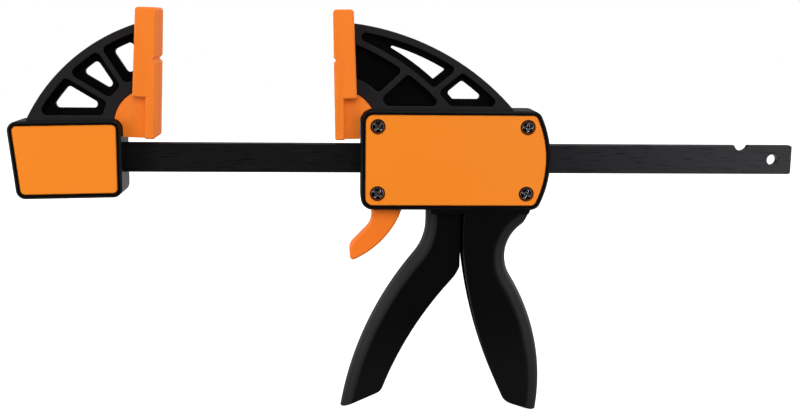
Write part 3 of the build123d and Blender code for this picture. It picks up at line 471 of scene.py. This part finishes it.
# Cover screws, in millimetres: a domed head with a cross recess on a thin flange, and a threaded
# shank with a blunt tip.
FLANGE_RADIUS, HEAD_RADIUS, SHANK_RADIUS, TIP_RADIUS = 5.1, 3.9, 1.7, 0.8
FLANGE_THICKNESS, HEAD_HEIGHT, SCREW_LENGTH = 0.5, 1.7, 15.4
HEAD_DOME, DOME_CURVE = 0.55, 2.4       # how far the head's rim lies below its middle, and how
HEAD_WALL = 0.06                        # how far the head's wall stands outside the dome's rim
HEAD_FILLET, HEAD_FOOT = 0.1, 0.2       # its rounded top and bottom, and its foot on the flange
FLANGE_CHAMFER = 0.12
RECESS_DEPTH, RECESS_REACH, RECESS_WIDTH = 1.2, 3.2, 1.9
RECESS_FADE = 0.55                      # under 1 keeps it deep further along its arms
SHOULDER_WIDTH, SHOULDER_DEPTH = 0.42, 0.28     # the rubbed lean at the top of its walls
WALL_WIDTH = 0.16                       # and what the steep rest of a wall takes
THREAD_PITCH, THREAD_DEPTH = 1.2, 0.35
PLAIN_END = 1.0                         # how much of each end of the shank has no thread
TIP_TAPER, TIP_EDGE = 0.9, 0.1          # how far from its end the tip narrows, and turns flat
HEAD_RINGS, RINGS_PER_PITCH, SCREW_SIDES = 34, 6, 120
RING_SPREAD = 0.9                       # under 1 puts the head's rings a little nearer its rim
SCREW_TURNS = (42.0, 4.0, 38.0, 24.0)   # degrees each cross is turned: upper two, lower two


def screw_points(turn):
    """One screw in millimetres, with its axis along +Y from the head's top.

    A profile of (radius, depth) is turned about the axis. Over the head the depth grows by a cross
    recess: a leaning shoulder and then a steep wall, by how far a point lies inside half the arms'
    width of the nearer of two crossed centre lines, fading from the middle to the arms' ends.
    Along the shank the radius swings with a triangle wave of the depth and the angle, which is a
    thread.
    """
    angle = np.linspace(0, 2 * np.pi, SCREW_SIDES, endpoint=False)[None, :]
    dome = np.linspace(0, 1, HEAD_RINGS) ** RING_SPREAD
    head = np.stack([dome * HEAD_RADIUS, HEAD_DOME * dome**DOME_CURVE])
    flange_top = HEAD_HEIGHT - FLANGE_THICKNESS
    steps = np.array([
        (HEAD_RADIUS + HEAD_WALL, HEAD_DOME + HEAD_FILLET),
        (HEAD_RADIUS + HEAD_WALL, flange_top - HEAD_FILLET),
        (HEAD_RADIUS + HEAD_FOOT, flange_top),
        (FLANGE_RADIUS - FLANGE_CHAMFER, flange_top),
        (FLANGE_RADIUS, flange_top + FLANGE_CHAMFER),
        (FLANGE_RADIUS, HEAD_HEIGHT),
        (SHANK_RADIUS, HEAD_HEIGHT),
    ]).T
    depth = np.arange(HEAD_HEIGHT + HEAD_FILLET, SCREW_LENGTH - TIP_TAPER,
                      THREAD_PITCH / RINGS_PER_PITCH)
    shank = np.stack([np.full_like(depth, SHANK_RADIUS), depth])
    tip = np.array([(TIP_RADIUS, SCREW_LENGTH - TIP_EDGE), (0.0, SCREW_LENGTH)]).T
    radius, depth = np.concatenate([head, steps, shank, tip], 1)[..., None]

    turned = angle + math.radians(turn)
    off_arm = np.minimum(abs(radius * np.cos(turned)), abs(radius * np.sin(turned)))
    inside = RECESS_WIDTH / 2 - off_arm
    shoulder = SHOULDER_DEPTH * np.clip(inside / SHOULDER_WIDTH, 0, 1)
    steep = (RECESS_DEPTH - SHOULDER_DEPTH) * np.clip((inside - SHOULDER_WIDTH) / WALL_WIDTH, 0, 1)
    fade = np.clip(1 - radius / RECESS_REACH, 0, 1) ** RECESS_FADE
    on_head = np.arange(len(radius))[:, None] < HEAD_RINGS
    sunk = depth + (shoulder + steep) * fade * on_head

    wave = 2 * abs((depth / THREAD_PITCH - angle / (2 * np.pi)) % 1 - 0.5)
    threaded = (depth > HEAD_HEIGHT + PLAIN_END) & (depth < SCREW_LENGTH - PLAIN_END)
    radius = radius - THREAD_DEPTH * wave * threaded
    return np.stack([radius * np.cos(angle), sunk + 0 * angle, radius * np.sin(angle)], -1)


def add_screws():
    """The four cover screws, each standing where its CAD screw does."""
    low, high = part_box("cover_screws")
    inset = FLANGE_RADIUS * MM
    vertices, faces = [], []
    for index, turn in enumerate(SCREW_TURNS):
        x = (low[0] + inset, high[0] - inset)[index % 2]
        z = (high[2] - inset, low[2] + inset)[index // 2]
        points, sides, ends = turned_solid(screw_points(turn) * MM + np.array([x, low[1], z]))
        start = len(vertices)
        faces += [*(sides + start).tolist(), *(ends + start).tolist()]
        vertices += points.tolist()
    mesh = bpy.data.meshes.new("cover_screw_set")
    mesh.from_pydata(vertices, [], faces)
    shape = bmesh.new()
    shape.from_mesh(mesh)
    bmesh.ops.recalc_face_normals(shape, faces=shape.faces)
    shape.to_mesh(mesh)
    shape.free()
    mesh.shade_smooth()
    new_piece("cover_screw_set", mesh, "moving_head", "cover_screws", "black_screw_steel")


MERGE_WITHIN = 0.001 * MM               # corners this near are one
FLAT_WITHIN = math.radians(1)           # and so are faces that meet at less than this
SHARP_FROM = math.radians(30)           # edges that turn by more than this are rounded
PAD_EDGE = 0.45 * MM                    # by this much


def add_pad(name, node, body):
    """A jaw pad: a merged copy of its CAD node whose edges are rounded, as a mould's are."""
    shape = bmesh.new()
    shape.from_mesh(nodes[node].data)
    bmesh.ops.remove_doubles(shape, verts=shape.verts, dist=MERGE_WITHIN)
    bmesh.ops.dissolve_limit(shape, angle_limit=FLAT_WITHIN, verts=shape.verts, edges=shape.edges)
    mesh = bpy.data.meshes.new(name)
    shape.to_mesh(mesh)
    shape.free()
    mesh.shade_smooth()
    piece = new_piece(name, mesh, body, node, "orange_soft_pad")
    bevel = piece.modifiers.new("moulded_edges", "BEVEL")
    bevel.width = PAD_EDGE
    bevel.segments = 3
    bevel.limit_method = "ANGLE"
    bevel.angle_limit = SHARP_FROM
    bevel.harden_normals = True


add_screws()
add_pad("fixed_pad_moulding", "fixed_jaw_pad", "bar_and_fixed_jaw")
add_pad("moving_pad_moulding", "moving_jaw_pad", "moving_head")
